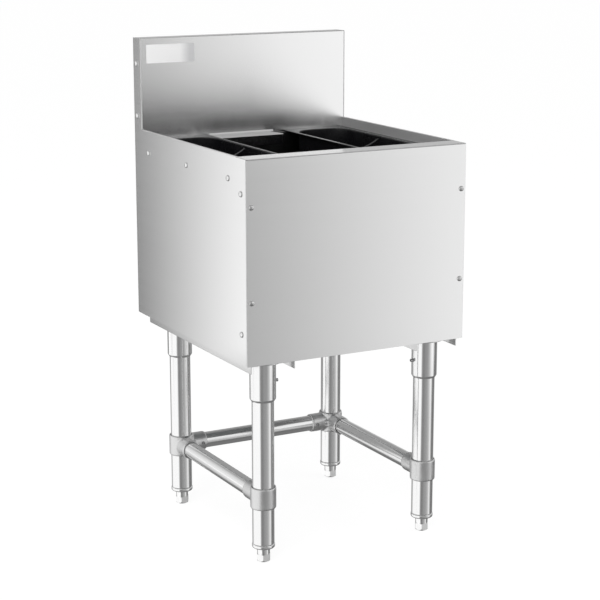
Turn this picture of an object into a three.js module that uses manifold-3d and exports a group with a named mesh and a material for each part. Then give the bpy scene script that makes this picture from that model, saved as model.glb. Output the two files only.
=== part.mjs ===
// Underbar ice bin on a tubular stand.
// Millimetres, +Z up. The origin is on the floor under the middle of the outline,
// +X is to the right of a person who stands in front of the bin, and +Y is to the back.

import * as THREE from 'three';
import { mergeVertices } from 'three/addons/utils/BufferGeometryUtils.js';
import Module from 'manifold-3d';

const wasm = await Module();
wasm.setup();

// Driving dimensions of the whole bin
const binWidth = 457.2;
const binDepth = 490.8;
const binTop = 764.6;
const bodyHeight = 373.1;
const splashRise = 177.8;
const splashDepth = 33.8;

// Sheet metal and clearances
const sheet = 1.2;
const seam = 0.3;
const overrun = 5;

// Folds of the cabinet's panels
const sideFrontFold = 21;
const sideBottomFold = 20;
const sideBackFold = 15;
const rimReturn = 6;
const frontRimDepth = 40.8;
const frontRimDrop = 25;
const frontPanelFold = 12;
const splashTail = 30;
const panFold = 14;
const foldClearance = 2;

// Front angles that hold the front panel
const angleSideLeg = 30;
const angleClearance = 8;

// Ice liner
const ledgeDrop = 21;
const sideLedge = 12;
const frontLedge = 12;
const rearLedge = 17;
const linerSkirt = 40;
const tankCornerRadius = 16;
const tankFloorHeight = 40;
const tankFall = 6;
const sumpRadius = 35;
const sumpDepth = 8;

// Rear ledge plate, which leaves a slot for hoses beside the right well
const ledgePlateDepth = 53;
const ledgePlateDrop = 20;
const hoseSlot = 22;
const ledgePlateCorner = 8;

// Bottle wells
const centreGap = 167;
const wellPlay = 1;
const wellWall = 2.5;
const wellDepth = 200;
const wellSideMargin = 16;
const wellInnerMargin = 8;
const wellFrontMargin = 16;
const wellBackMargin = 26;
const wellCornerRadius = 42;
const wellFlangeRadius = 5;
const wellFloorFillet = 14;
const wellMouthEasing = 2;
const wellDraftShare = 0.045;
const partitionWall = 6;
const partitionPlaceShare = 0.6;
const saddleHighDrop = 4;
const saddleLowDrop = 24;

// Drain
const drainFlangeRadius = 30;
const drainFlangeThickness = 3;
const drainPipeRadius = 16.7;
const drainBoreRadius = 13;
const drainReach = 40;
const drainHoleClearance = 1;
const gasketThickness = 2;
const locknutHeight = 9;
const locknutFlats = 46;
const strainerRadius = 33;
const strainerThickness = 1.5;
const strainerHoleRadius = 2;
const strainerKnobRadius = 5;
const strainerKnobHeight = 8;
const strainerRingShares = [0.36, 0.7];
const strainerRingCounts = [6, 12];

// Screws of the front panel and rivets of the side panels
const screwHeadRadius = 4.5;
const screwHeadHeight = 2.8;
const screwShankRadius = 2;
const screwLength = 12;
const fastenerClearance = 0.3;
const frontScrewInset = 9.35;
const frontScrewHeightShares = [0.312, 0.772];
const rivetHeadRadius = 4.3;
const rivetHeadHeight = 2;
const rivetShankRadius = 2;
const rivetLength = 5;
const topRivetDrop = 42;
const topRivetShares = [0.147, 0.507, 0.866];
const angleRivetInset = 21.5;
const angleRivetHeightShares = [0.15, 0.83];
const earRivetInset = 14.8;
const earRivetHeightShares = [0.146, 0.72];

// Blank label plate on the backsplash
const labelWidth = 102.8;
const labelHeight = 36;
const labelThickness = 0.6;
const labelInset = 12.8;
const labelRise = 129;

// Channels under the body
const channelWidth = 90;
const channelHeight = 15.3;
const channelThickness = 2;
const channelFrontInset = 6;

// Legs and their sockets
const legRadius = 20.65;
const legWall = 1.5;
const legInset = 54.6;
const frontLegInset = 47.5;
const backLegInset = 77.8;
const legTopGap = 5;
const slidingFit = 0.3;
const socketWall = 3.5;
const socketReach = 80;
const socketFlangeRadius = 36;
const socketFlangeThickness = 3;
const socketLipHeight = 7;
const socketLipTaper = 3;
const setScrewRadius = 3;
const setScrewStand = 2.5;
const socketScrewStand = 6.5;
const socketScrewDrop = 45;

// Cross-rail fittings and rails
const railHeight = 125.75;
const railRadius = 15.9;
const railWall = 1.2;
const fittingHeight = 41.5;
const fittingWall = 3.3;
const branchWall = 2.6;
const branchReach = 51;
const railGap = 2;
const branchScrewInset = 10;
const bossRadius = 6;
const bossReach = 30.5;

// Foot inserts and adjustable feet
const legLift = 36;
const insertCollarRadius = 21.6;
const insertCollarHeight = 8.3;
const insertReach = 34;
const studRadius = 7.95;
const studBoreClearance = 0.3;
const studLength = 36;
const footBarrelRadius = 12.1;
const footHexHeight = 15.6;
const footHexFlats = 24;
const footHexChamfer = 2.4;

// Facets
const legSides = 32;
const railSides = 24;
const drainSides = 30;
const smallSides = 10;
const arcSteps = 6;

// Finishes
const finishes = {
  brushed: { color: 0xc9cbcc, roughness: 0.38, metalness: 1 },
  splash: { color: 0xbfc1c3, roughness: 0.3, metalness: 1 },
  liner: { color: 0x8b8e90, roughness: 0.4, metalness: 1 },
  polished: { color: 0xe2e4e6, roughness: 0.12, metalness: 1 },
  cast: { color: 0xa6a8aa, roughness: 0.45, metalness: 1 },
  galvanised: { color: 0xb4b8bb, roughness: 0.5, metalness: 1 },
  screw: { color: 0x8d8f91, roughness: 0.3, metalness: 1 },
  blackPlastic: { color: 0x0a0a0b, roughness: 0.18, metalness: 0 },
  rubber: { color: 0x1b1b1c, roughness: 0.8, metalness: 0 },
  foam: { color: 0xe3d9a6, roughness: 0.9, metalness: 0 },
  label: { color: 0xf2f2f0, roughness: 0.4, metalness: 0 },
};

// Places that several pieces of the cabinet share, in its own frame:
// z is counted from the underside of the body, x and y from the middle of its plan
const left = -binWidth / 2;
const right = binWidth / 2;
const front = -binDepth / 2;
const back = binDepth / 2;
const splashTop = bodyHeight + splashRise;
const splashFace = back - splashDepth;
const insideWidth = binWidth / 2 - sheet - seam;
const behindFront = front + sheet + seam;
const clearOfFront = behindFront + sheet + seam;
const beforeBack = back - sheet - seam;
const clearOfBack = beforeBack - sheet - seam;
const rimBack = front + frontRimDepth;
const ledgeTop = bodyHeight - ledgeDrop;
const panUnder = sheet + seam;
const panTop = panUnder + sheet;
const angleTop = bodyHeight - frontRimDrop - seam;
const angleBottom = panTop + panFold + angleClearance;
const tankHalfWidth = binWidth / 2 - rimReturn - sideLedge;
const tankFront = rimBack + frontLedge;
const tankBack = splashFace - rearLedge;
const tankMiddle = (tankFront + tankBack) / 2;
const tankHalfLength = (tankBack - tankFront) / 2;
const tankLow = tankFloorHeight - tankFall;
const sumpFloor = tankLow - sumpDepth;
const frontScrewHeights = frontScrewHeightShares.map((share) => share * bodyHeight);
const linerRivetPlaces = topRivetShares.map((share) => [front + share * binDepth, bodyHeight - topRivetDrop]);
const angleRivetPlaces = angleRivetHeightShares.map((share) => [front + angleRivetInset, share * bodyHeight]);
const earRivetPlaces = earRivetHeightShares.map((share) => [back - earRivetInset, bodyHeight + share * splashRise]);

// Places that the pieces of the stand share, with z counted from the floor
const bodyBottom = binTop - bodyHeight;
const legX = binWidth / 2 - legInset;
const frontLegY = front + frontLegInset;
const backLegY = back - backLegInset;
const socketBore = legRadius + slidingFit;
const socketRadius = socketBore + socketWall;
const socketTop = bodyBottom - 2 * seam - channelThickness;
const socketLow = bodyBottom - socketReach;
const socketScrewHeight = bodyBottom - socketScrewDrop;
const sleeveRadius = socketBore + fittingWall;
const sleeveLow = railHeight - fittingHeight / 2;
const sleeveHigh = railHeight + fittingHeight / 2;
const branchBore = railRadius + slidingFit;
const branchRadius = branchBore + branchWall;
const branchFloor = socketBore + railGap / 2;
const railStart = socketBore + railGap;
const insertBore = studRadius + studBoreClearance;
const footTop = legLift - seam - insertCollarHeight - seam;

// Solids from geometries, and back

function solidOf(geometry) {
  geometry.deleteAttribute('normal');
  geometry.deleteAttribute('uv');
  const merged = mergeVertices(geometry);
  const vertices = merged.index.array;
  const kept = [];
  for (let i = 0; i < vertices.length; i += 3) {
    const [a, b, c] = vertices.slice(i, i + 3);
    if (a !== b && b !== c && c !== a) kept.push(a, b, c);
  }
  return new wasm.Manifold(new wasm.Mesh({
    numProp: 3,
    vertProperties: new Float32Array(merged.attributes.position.array),
    triVerts: new Uint32Array(kept),
  }));
}

function geometryOf(solid) {
  const mesh = solid.getMesh();
  const geometry = new THREE.BufferGeometry();
  geometry.setAttribute('position', new THREE.BufferAttribute(mesh.vertProperties, 3));
  geometry.setIndex(new THREE.BufferAttribute(mesh.triVerts, 1));
  geometry.computeVertexNormals();
  return geometry;
}

function joined(solids) {
  return solids.reduce((sum, solid) => sum.add(solid));
}

function without(solid, cuts) {
  return cuts.reduce((rest, cut) => rest.subtract(cut), solid);
}

// Simple shapes

// A box between two corners, whose faces lie exactly where its neighbours' faces do
function block(xa, xb, ya, yb, za, zb) {
  const box = new THREE.BoxGeometry();
  const corners = box.attributes.position;
  const pick = (along, a, b) => (along < 0 ? Math.min(a, b) : Math.max(a, b));
  for (let i = 0; i < corners.count; i += 1) {
    const [x, y, z] = [corners.getX(i), corners.getY(i), corners.getZ(i)];
    corners.setXYZ(i, pick(x, xa, xb), pick(y, ya, yb), pick(z, za, zb));
  }
  return solidOf(box);
}

function extruded(outline, depth) {
  const shape = new THREE.Shape(outline.map((point) => new THREE.Vector2(...point)));
  return new THREE.ExtrudeGeometry(shape, { depth, bevelEnabled: false });
}

// A folded sheet of one section along X, its outline given in Y and Z
function foldedAcross(outline, xa, xb) {
  const along = extruded(outline, xb - xa).rotateX(Math.PI / 2).rotateZ(Math.PI / 2);
  return solidOf(along.translate(xa, 0, 0));
}

// A folded sheet of one section along Y, its outline given in X and Z
function foldedAlong(outline, ya, yb) {
  return solidOf(extruded(outline, yb - ya).rotateX(Math.PI / 2).translate(0, yb, 0));
}

// A turned piece on the Z axis, its outline given as [radius, height] from the bottom up
function turnedGeometry(outline, sides) {
  const points = outline.map(([radius, height]) => new THREE.Vector2(radius, height));
  return new THREE.LatheGeometry(points, sides).rotateX(Math.PI / 2);
}

function turned(outline, sides) {
  return solidOf(turnedGeometry(outline, sides));
}

function rodGeometry(radius, low, high, sides) {
  return turnedGeometry([[0, low], [radius, low], [radius, high], [0, high]], sides);
}

function rod(radius, low, high, sides) {
  return solidOf(rodGeometry(radius, low, high, sides));
}

// A level rod at a height, from one reach to another along a direction in plan
function rodOutward(radius, from, to, direction, height, sides) {
  const along = rodGeometry(radius, from, to, sides).rotateY(Math.PI / 2).rotateZ(direction);
  return solidOf(along.translate(0, 0, height));
}

// A ring on the Z axis
function collar(bore, radius, low, high, sides) {
  return turned([[bore, low], [radius, low], [radius, high], [bore, high], [bore, low]], sides);
}

function hexagon(flats, low, high) {
  const corner = flats / Math.sqrt(3);
  const outline = Array.from({ length: 6 }, (_, i) => {
    const angle = (i * Math.PI) / 3;
    return [corner * Math.cos(angle), corner * Math.sin(angle)];
  });
  return solidOf(extruded(outline, high - low).translate(0, 0, low));
}

// The points of a rectangle with round corners, anticlockwise
function roundedRectangle(halfX, halfY, radius) {
  const points = [];
  [[1, -1], [1, 1], [-1, 1], [-1, -1]].forEach(([signX, signY], quarter) => {
    for (let step = 0; step <= arcSteps; step += 1) {
      const angle = ((quarter - 1 + step / arcSteps) * Math.PI) / 2;
      points.push([
        signX * (halfX - radius) + radius * Math.cos(angle),
        signY * (halfY - radius) + radius * Math.sin(angle),
      ]);
    }
  });
  return points;
}

function roundedPrism(halfX, halfY, radius, x, y, low, high) {
  const prism = extruded(roundedRectangle(halfX, halfY, radius), high - low);
  return solidOf(prism.translate(x, y, low));
}

// A closed skin through a stack of rings, with a flat face over the first and the last
function lofted(rings) {
  const count = rings[0].length;
  const faces = [];
  for (let ring = 0; ring + 1 < rings.length; ring += 1) {
    for (let i = 0; i < count; i += 1) {
      const a = ring * count + i;
      const b = ring * count + ((i + 1) % count);
      faces.push(a, b, b + count, a, b + count, a + count);
    }
  }
  const last = (rings.length - 1) * count;
  for (let i = 1; i + 1 < count; i += 1) {
    faces.push(0, i + 1, i);
    faces.push(last, last + i, last + i + 1);
  }
  const geometry = new THREE.BufferGeometry();
  geometry.setAttribute('position', new THREE.Float32BufferAttribute(rings.flat(2), 3));
  geometry.setIndex(faces);
  return solidOf(geometry);
}

// A domed head on a shank that points down -Z, with the head's seat at height 0
function domedFastener(headRadius, headHeight, shankRadius, length) {
  const outline = [[0, -length], [shankRadius, -length], [shankRadius, 0], [headRadius, 0]];
  const steps = arcSteps / 2;
  for (let step = 1; step < steps; step += 1) {
    const angle = (step * Math.PI) / 2 / steps;
    outline.push([headRadius * Math.cos(angle), headHeight * Math.sin(angle)]);
  }
  outline.push([0, headHeight]);
  return turnedGeometry(outline, smallSides);
}

// Rivets set through the side panel, each one piece with the sheet inside that it clamps
function sideRivets(side, places) {
  return places.map(([y, z]) => {
    const rivet = domedFastener(rivetHeadRadius, rivetHeadHeight, rivetShankRadius, rivetLength);
    return solidOf(rivet.rotateY((side * Math.PI) / 2).translate(side * (binWidth / 2 + seam), y, z));
  });
}

// The holes of one side panel for all of its rivets
function sideRivetHoles(side) {
  const radius = rivetShankRadius + fastenerClearance;
  const low = insideWidth - overrun;
  const high = binWidth / 2 + overrun;
  return [...linerRivetPlaces, ...angleRivetPlaces, ...earRivetPlaces].map(([y, z]) =>
    solidOf(rodGeometry(radius, low, high, smallSides).rotateY((side * Math.PI) / 2).translate(0, y, z)));
}

function frontScrewHoles() {
  const radius = screwShankRadius + fastenerClearance;
  return [left + frontScrewInset, right - frontScrewInset].flatMap((x) =>
    frontScrewHeights.map((z) => {
      const hole = rodGeometry(radius, -screwLength - overrun, overrun, smallSides).rotateX(Math.PI / 2);
      return solidOf(hole.translate(x, front, z));
    }));
}

// Side panel: one sheet with an ear that closes the end of the backsplash
function sidePanel(side) {
  const half = binWidth / 2;
  const bend = sheet / 2;
  const bendLine = side * (half - bend);
  const rimEdge = side * (half - rimReturn);
  const rimInside = rimEdge + side * sheet;
  const wall = foldedAcross([
    [behindFront + bend, bend],
    [back, bend],
    [back, splashTop],
    [splashFace, splashTop],
    [splashFace, bodyHeight - bend],
    [behindFront + bend, bodyHeight - bend],
  ], Math.min(side * half, side * (half - sheet)), Math.max(side * half, side * (half - sheet)));
  const rim = foldedAlong([
    [rimEdge, ledgeTop + seam],
    [rimInside, ledgeTop + seam],
    [rimInside, bodyHeight - sheet],
    [bendLine, bodyHeight - sheet],
    [bendLine, bodyHeight],
    [rimEdge, bodyHeight],
  ], rimBack + seam, splashFace - seam);
  const fold = (width, ya, yb, za, zb) => block(bendLine, side * (half - width), ya, yb, za, zb);
  const panel = joined([
    wall,
    rim,
    fold(sideBottomFold, clearOfFront, clearOfBack, 0, sheet),
    fold(sideFrontFold, behindFront, behindFront + sheet, sheet, angleBottom - seam),
    fold(sideBackFold, beforeBack - sheet, beforeBack, sheet, bodyHeight - splashTail),
  ]);
  return without(panel, sideRivetHoles(side));
}

// Front panel: a flat sheet with a fold along its lower edge
function frontPanel() {
  const fold = binWidth / 2 - sideFrontFold - foldClearance;
  const panel = joined([
    block(left, right, front, front + sheet, 0, bodyHeight - sheet - seam),
    block(-fold, fold, front, front + frontPanelFold, 0, sheet),
  ]);
  return without(panel, frontScrewHoles());
}

function frontScrew(x, z) {
  const screw = domedFastener(screwHeadRadius, screwHeadHeight, screwShankRadius, screwLength);
  return solidOf(screw.rotateX(Math.PI / 2).translate(x, front - seam, z));
}

// Front angle: riveted inside the side panel, and the front panel is screwed to it
function frontAngle(side) {
  const outer = side * insideWidth;
  const inner = side * (insideWidth - sheet);
  const reach = side * (binWidth / 2 - sideFrontFold);
  const angle = extruded([
    [outer, behindFront],
    [outer, behindFront + angleSideLeg],
    [inner, behindFront + angleSideLeg],
    [inner, behindFront + sheet],
    [reach, behindFront + sheet],
    [reach, behindFront],
  ], angleTop - angleBottom);
  const whole = joined([
    solidOf(angle.translate(0, 0, angleBottom)),
    ...sideRivets(side, angleRivetPlaces),
  ]);
  return without(whole, frontScrewHoles());
}

// Front rim: the broad top edge, folded down behind the front panel and into the bin
function frontRim() {
  const under = bodyHeight - sheet;
  return foldedAcross([
    [front, under],
    [behindFront, under],
    [behindFront, bodyHeight - frontRimDrop],
    [behindFront + sheet, bodyHeight - frontRimDrop],
    [behindFront + sheet, under],
    [rimBack - sheet, under],
    [rimBack - sheet, ledgeTop + seam],
    [rimBack, ledgeTop + seam],
    [rimBack, bodyHeight],
    [front, bodyHeight],
  ], -insideWidth, insideWidth);
}

// Backsplash: front face, top and back in one fold, with an end plate inside each ear
function backsplash() {
  const bend = sheet / 2;
  const tail = bodyHeight - splashTail + seam;
  const endPlate = (side) => block(
    side * insideWidth,
    side * (insideWidth - sheet),
    splashFace + bend,
    back - bend,
    bodyHeight,
    splashTop - bend,
  );
  return joined([
    foldedAcross([
      [splashFace, ledgeTop + seam],
      [splashFace + sheet, ledgeTop + seam],
      [splashFace + sheet, splashTop - sheet],
      [back - sheet, splashTop - sheet],
      [back - sheet, tail],
      [back, tail],
      [back, splashTop],
      [splashFace, splashTop],
    ], bend - insideWidth, insideWidth - bend),
    endPlate(-1),
    endPlate(1),
    ...sideRivets(-1, earRivetPlaces),
    ...sideRivets(1, earRivetPlaces),
  ]);
}

function backPanel() {
  return block(-insideWidth, insideWidth, back - sheet, back, 0, bodyHeight - splashTail);
}

function drainHole(low, high) {
  return rod(drainPipeRadius + drainHoleClearance, low, high, drainSides);
}

// Bottom pan: a flat sheet with both long edges turned up
function bottomPan() {
  const inner = insideWidth - sheet;
  const pan = foldedAlong([
    [-insideWidth, panUnder],
    [insideWidth, panUnder],
    [insideWidth, panTop + panFold],
    [inner, panTop + panFold],
    [inner, panTop],
    [-inner, panTop],
    [-inner, panTop + panFold],
    [-insideWidth, panTop + panFold],
  ], clearOfFront, clearOfBack);
  return pan.subtract(drainHole(0, panTop + overrun));
}

// The space inside the tank, or all of the tank when it is grown by its wall:
// a plan with round corners, a floor that falls to the middle, and a round sump
function tankSpace(wall, high) {
  const halfX = tankHalfWidth + wall;
  const halfY = tankHalfLength + wall;
  const plan = roundedPrism(halfX, halfY, tankCornerRadius + wall, 0, tankMiddle, 0, high);
  const edge = tankHalfWidth + overrun;
  const reach = halfY + overrun;
  const fall = foldedAlong([
    [-edge, high + overrun],
    [-edge, tankFloorHeight - wall],
    [0, tankLow - wall],
    [edge, tankFloorHeight - wall],
    [edge, high + overrun],
  ], tankMiddle - reach, tankMiddle + reach);
  const sump = rod(sumpRadius + wall, sumpFloor - wall, tankFloorHeight, drainSides);
  return plan.intersect(fall).add(sump);
}

// Ice liner: the tank, the ledge round its mouth and a skirt down each side
function iceLiner() {
  const skirt = (side) => block(
    side * insideWidth,
    side * (insideWidth - sheet),
    behindFront + angleSideLeg + foldClearance,
    splashFace,
    ledgeTop - linerSkirt,
    ledgeTop,
  );
  const liner = joined([
    tankSpace(sheet, ledgeTop - sheet / 2),
    block(-insideWidth, insideWidth, clearOfFront, clearOfBack, ledgeTop - sheet, ledgeTop),
    skirt(-1),
    skirt(1),
    ...sideRivets(-1, linerRivetPlaces),
    ...sideRivets(1, linerRivetPlaces),
  ]);
  return without(liner, [
    tankSpace(0, ledgeTop + overrun),
    drainHole(sumpFloor - overrun, sumpFloor + overrun),
  ]);
}

// Foam: fills the body between the tank and the panels, cut back round screws and rivets
function insulation() {
  const half = insideWidth - sheet - 2 * seam;
  const low = panTop + seam;
  const high = ledgeTop - sheet - seam;
  const whole = block(-half, half, clearOfFront + seam, clearOfBack - seam, low, high);
  const cutBack = (side, reach, ya, yb, za) => block(
    side * (half - reach),
    side * binWidth,
    ya,
    yb,
    za,
    bodyHeight,
  );
  const cuts = [-1, 1].flatMap((side) => [
    cutBack(side, rivetLength, front, back, ledgeTop - linerSkirt - overrun),
    cutBack(side, rivetLength, front, front + angleRivetInset + overrun, angleBottom - overrun),
    cutBack(side, sideFrontFold + overrun, front, behindFront + screwLength + overrun, angleBottom - overrun),
  ]);
  return without(whole, [tankSpace(sheet + seam, bodyHeight), drainHole(0, tankFloorHeight), ...cuts]);
}

// Rear ledge: a plate across the back of the ice compartment with its front edge turned down
function rearLedgePlate() {
  const low = ledgeTop + seam;
  const high = low + sheet;
  const xa = -centreGap / 2 + wellPlay;
  const xb = centreGap / 2 - hoseSlot;
  const ya = splashFace - ledgePlateDepth;
  const yb = splashFace - seam;
  const plate = extruded([
    [xa, ya],
    [xb - ledgePlateCorner / 2, ya],
    [xb, ya + ledgePlateCorner],
    [xb - ledgePlateCorner, yb],
    [xa, yb],
  ], sheet);
  return joined([
    solidOf(plate.translate(0, 0, low)),
    block(xa, xb - ledgePlateCorner / 2, ya, ya + sheet, high - ledgePlateDrop, high),
  ]);
}

// Bottle well: a flanged tub with round corners and a partition with a saddle for bottle necks
function bottleWell(side) {
  const outerEdge = side * (binWidth / 2 - rimReturn - wellPlay);
  const innerEdge = (side * centreGap) / 2;
  const frontEdge = rimBack + wellPlay;
  const backEdge = splashFace - wellPlay;
  const under = ledgeTop + seam;
  const top = under + wellWall;
  const floor = top - wellDepth;
  const mouthOuter = outerEdge - side * wellSideMargin;
  const mouthInner = innerEdge + side * wellInnerMargin;
  const mouthFront = frontEdge + wellFrontMargin;
  const mouthBack = backEdge - wellBackMargin;
  const mouthX = (mouthOuter + mouthInner) / 2;
  const mouthY = (mouthFront + mouthBack) / 2;
  const mouthHalfX = Math.abs(mouthOuter - mouthInner) / 2;
  const mouthHalfY = (mouthBack - mouthFront) / 2;
  const ring = (x, y, halfX, halfY, radius, z) =>
    roundedRectangle(halfX, halfY, radius).map(([px, py]) => [x + px, y + py, z]);
  const flangeRing = (z) => ring(
    (outerEdge + innerEdge) / 2,
    (frontEdge + backEdge) / 2,
    Math.abs(outerEdge - innerEdge) / 2,
    (backEdge - frontEdge) / 2,
    wellFlangeRadius,
    z,
  );
  // Rings of the wall: grown by the wall outside, drawn in by the draft and the floor's fillet
  const wallRing = (wall, z, inset) => {
    const drawn = (top - z) * wellDraftShare + inset - wall;
    const radius = Math.max(wellCornerRadius - drawn, wellFlangeRadius);
    return ring(mouthX, mouthY, mouthHalfX - drawn, mouthHalfY - drawn, radius, z);
  };
  const floorRings = (wall, base) => [0, 1, 2, 3].map((step) => {
    const angle = (step * Math.PI) / 6;
    const inset = wellFloorFillet * (1 - Math.sin(angle));
    return wallRing(wall, base + wellFloorFillet * (1 - Math.cos(angle)), inset);
  });
  const outside = [...floorRings(wellWall, floor), wallRing(wellWall, under, 0)];
  const inside = floorRings(0, floor + wellWall).reverse();
  const tub = lofted([
    ...outside,
    flangeRing(under),
    flangeRing(top),
    wallRing(wellMouthEasing, top, 0),
    wallRing(0, top - wellMouthEasing, 0),
    ...inside,
  ]);
  const halfSlab = mouthHalfX + wellWall;
  const saddle = new THREE.Shape();
  saddle.moveTo(-halfSlab, floor);
  saddle.lineTo(halfSlab, floor);
  saddle.lineTo(halfSlab, top - saddleHighDrop);
  saddle.quadraticCurveTo(0, top - 2 * saddleLowDrop + saddleHighDrop, -halfSlab, top - saddleHighDrop);
  const slab = new THREE.ExtrudeGeometry(saddle, {
    depth: partitionWall,
    bevelEnabled: false,
    curveSegments: 2 * arcSteps,
  });
  const slabBack = mouthFront + partitionPlaceShare * (mouthBack - mouthFront) + partitionWall / 2;
  slab.rotateX(Math.PI / 2).translate(mouthX, slabBack, 0);
  return tub.add(solidOf(slab).intersect(lofted(outside)));
}

// Drain fitting: a flanged pipe through the sump, the foam and the pan
const gasketLow = sumpFloor + seam;
const drainFlangeLow = gasketLow + gasketThickness + seam;
const strainerLow = drainFlangeLow + drainFlangeThickness + seam;

function drainBody() {
  const flangeHigh = drainFlangeLow + drainFlangeThickness;
  return turned([
    [drainBoreRadius, -drainReach],
    [drainPipeRadius, -drainReach],
    [drainPipeRadius, drainFlangeLow],
    [drainFlangeRadius, drainFlangeLow],
    [drainFlangeRadius, flangeHigh],
    [drainBoreRadius, flangeHigh],
    [drainBoreRadius, -drainReach],
  ], drainSides);
}

function drainGasket() {
  const edge = drainFlangeRadius - drainHoleClearance;
  return collar(drainPipeRadius + seam, edge, gasketLow, gasketLow + gasketThickness, drainSides);
}

function drainLocknut() {
  const high = panUnder - seam;
  const low = high - locknutHeight;
  return hexagon(locknutFlats, low, high)
    .subtract(rod(drainPipeRadius + seam, low - overrun, high + overrun, drainSides));
}

// Strainer: a perforated disc with a knob, which lies on the drain flange
function drainStrainer() {
  const high = strainerLow + strainerThickness;
  const holes = strainerRingCounts.flatMap((count, ring) =>
    Array.from({ length: count }, (_, i) => {
      const angle = (2 * Math.PI * i) / count;
      const reach = strainerRingShares[ring] * strainerRadius;
      const hole = rodGeometry(strainerHoleRadius, strainerLow - overrun, high + overrun, smallSides);
      return solidOf(hole.translate(reach * Math.cos(angle), reach * Math.sin(angle), 0));
    }));
  return without(rod(strainerRadius, strainerLow, high, drainSides), holes)
    .add(rod(strainerKnobRadius, strainerLow, high + strainerKnobHeight, smallSides));
}

function labelPlate() {
  const xa = left + labelInset;
  const yb = splashFace - seam;
  const za = bodyHeight + labelRise;
  return block(xa, xa + labelWidth, yb - labelThickness, yb, za, za + labelHeight);
}

// Channel: an inverted U along each pair of legs
function channel(side) {
  const xa = side * legX - channelWidth / 2;
  const xb = xa + channelWidth;
  const high = -seam;
  const under = high - channelThickness;
  const low = high - channelHeight;
  return foldedAlong([
    [xa, low],
    [xa + channelThickness, low],
    [xa + channelThickness, under],
    [xb - channelThickness, under],
    [xb - channelThickness, low],
    [xb, low],
    [xb, high],
    [xa, high],
  ], front + channelFrontInset, splashFace);
}

// Socket: a sleeve with a flange against the channel and a lip that tapers to the leg
function legSocket(inward) {
  const body = turned([
    [socketBore, socketLow],
    [socketRadius - socketLipTaper, socketLow],
    [socketRadius - socketLipTaper / 3, socketLow + socketLipHeight / 3],
    [socketRadius, socketLow + socketLipHeight],
    [socketRadius, socketTop - socketFlangeThickness],
    [socketFlangeRadius, socketTop - socketFlangeThickness],
    [socketFlangeRadius, socketTop],
    [socketBore, socketTop],
    [socketBore, socketLow],
  ], legSides);
  const hole = setScrewRadius + fastenerClearance;
  return body.subtract(rodOutward(hole, 0, socketRadius + overrun, inward, socketScrewHeight, smallSides));
}

function socketSetScrew(inward) {
  const near = legRadius + seam;
  return rodOutward(setScrewRadius, near, socketRadius + socketScrewStand, inward, socketScrewHeight, smallSides);
}

function leg() {
  return collar(legRadius - legWall, legRadius, legLift, socketTop - legTopGap, legSides);
}

// A set screw, or its hole, in a branch: roll turns it round the branch from straight down
function branchScrew(radius, near, far, direction, roll) {
  const screw = rodGeometry(radius, -far, -near, smallSides).rotateX(roll);
  screw.translate(branchReach - branchScrewInset, 0, 0).rotateZ(direction);
  return solidOf(screw.translate(0, 0, railHeight));
}

// Fitting: a sleeve round the leg with a branch for each rail,
// and on a corner a boss between the two branches for the screw that grips the leg
function crossFitting(branches, bossDirections) {
  const holeRadius = setScrewRadius + fastenerClearance;
  const body = [rod(sleeveRadius, sleeveLow, sleeveHigh, legSides)];
  const cuts = [rod(socketBore, 0, bodyBottom, legSides)];
  for (const { direction, roll } of branches) {
    body.push(rodOutward(branchRadius, 0, branchReach, direction, railHeight, railSides));
    cuts.push(rodOutward(branchBore, branchFloor, branchReach + overrun, direction, railHeight, railSides));
    cuts.push(branchScrew(holeRadius, railRadius, branchRadius + overrun, direction, roll));
  }
  for (const direction of bossDirections) {
    body.push(rodOutward(bossRadius, 0, bossReach, direction, railHeight, smallSides));
    cuts.push(rodOutward(holeRadius, 0, bossReach + overrun, direction, railHeight, smallSides));
  }
  return without(joined(body), cuts);
}

// A rail is a plain tube that stops just short of the legs, inside the branches
function rail(length, direction) {
  const half = length / 2;
  const past = half + overrun;
  return rodOutward(railRadius, -half, half, direction, railHeight, railSides)
    .subtract(rodOutward(railRadius - railWall, -past, past, direction, railHeight, railSides));
}

// Foot insert: a plug in the leg with a rounded collar under it and a threaded bore
function footInsert() {
  const plug = legRadius - legWall - slidingFit;
  const collarTop = legLift - seam;
  const collarLow = collarTop - insertCollarHeight;
  const bead = insertCollarHeight / 4;
  return turned([
    [insertBore, collarLow],
    [insertCollarRadius - bead, collarLow],
    [insertCollarRadius, collarLow + bead],
    [insertCollarRadius, collarTop - bead],
    [insertCollarRadius - bead, collarTop],
    [plug, collarTop],
    [plug, collarTop + insertReach],
    [insertBore, collarTop + insertReach],
    [insertBore, collarLow],
  ], legSides);
}

// Adjustable foot: a chamfered hexagon, a round barrel and a threaded stud
function adjustableFoot() {
  const corner = footHexFlats / Math.sqrt(3);
  const chamfered = turned([
    [0, 0],
    [corner - 2 * footHexChamfer, 0],
    [corner, 2 * footHexChamfer],
    [corner, footHexHeight - footHexChamfer / 2],
    [corner - footHexChamfer, footHexHeight],
    [0, footHexHeight],
  ], legSides);
  return joined([
    hexagon(footHexFlats, 0, footHexHeight).intersect(chamfered),
    rod(footBarrelRadius, footHexHeight - footHexChamfer / 2, footTop, drainSides),
    rod(studRadius, footHexHeight, footTop + studLength, drainSides),
  ]);
}

// The scene graph

const underbarIceBin = new THREE.Group();
underbarIceBin.position.y = (seam + screwHeadHeight) / 2;

const cabinet = new THREE.Group();
cabinet.position.z = bodyBottom;
underbarIceBin.add(cabinet);

const stand = new THREE.Group();
underbarIceBin.add(stand);

function addPiece(group, name, solid, finish, x = 0, y = 0) {
  const mesh = new THREE.Mesh(geometryOf(solid), new THREE.MeshStandardMaterial(finishes[finish]));
  mesh.name = name;
  mesh.position.set(x, y, 0);
  group.add(mesh);
}

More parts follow.
